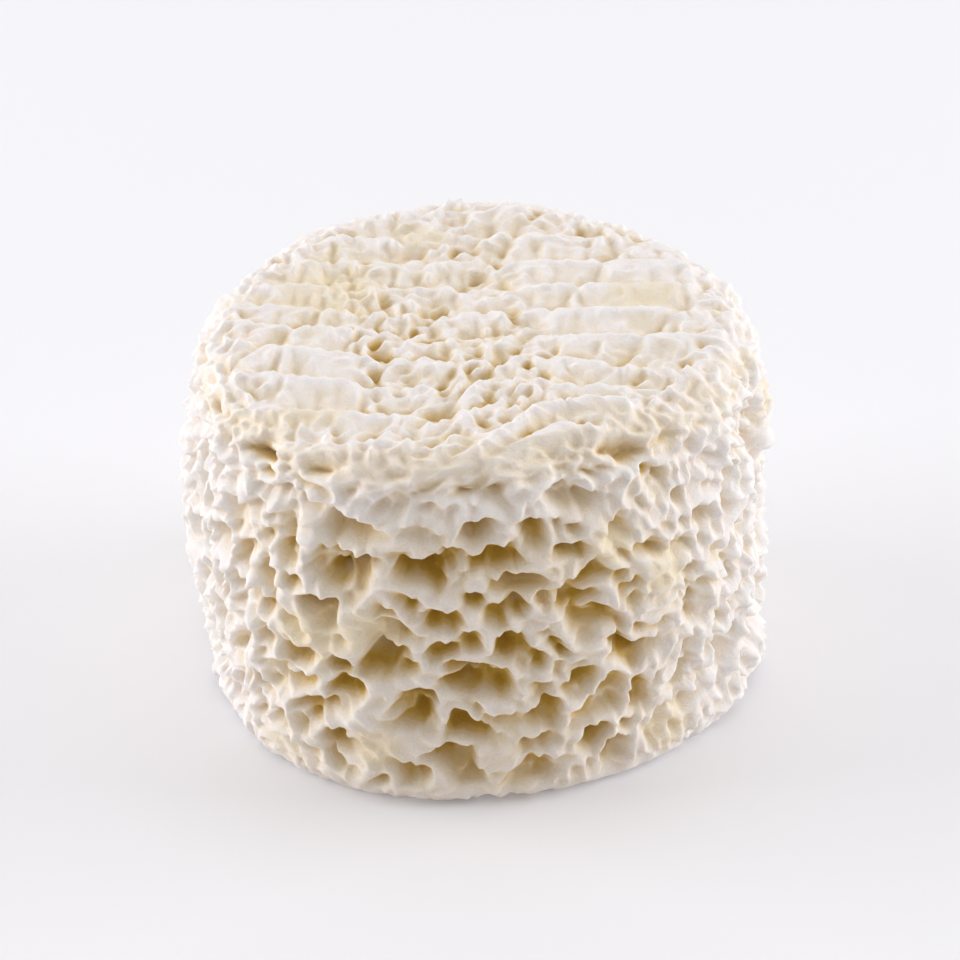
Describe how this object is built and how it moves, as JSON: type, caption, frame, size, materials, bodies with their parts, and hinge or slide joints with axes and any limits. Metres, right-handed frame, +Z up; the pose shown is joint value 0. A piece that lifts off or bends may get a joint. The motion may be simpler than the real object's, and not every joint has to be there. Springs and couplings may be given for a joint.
{
  "type": "crottin goat cheese",
  "caption": "Small drum of matured goat's cheese with a deeply wrinkled cream rind, a mat-printed top and base, and hollows round its side.",
  "frame": {"origin": "centre of the cheese's box, on the surface that it stands on", "axes": "+Z up through the drum, -Y towards the side with the deepest hollows, +X to the right of it"},
  "size_m": [0.0532, 0.0548, 0.0344],
  "materials": {
    "rind": "matt wrinkled cheese rind, white on the ridges and cream to ochre in the hollows"
  },
  "bodies": {
    "root": {"crottin": "rind"}
  },
  "joints": []
}
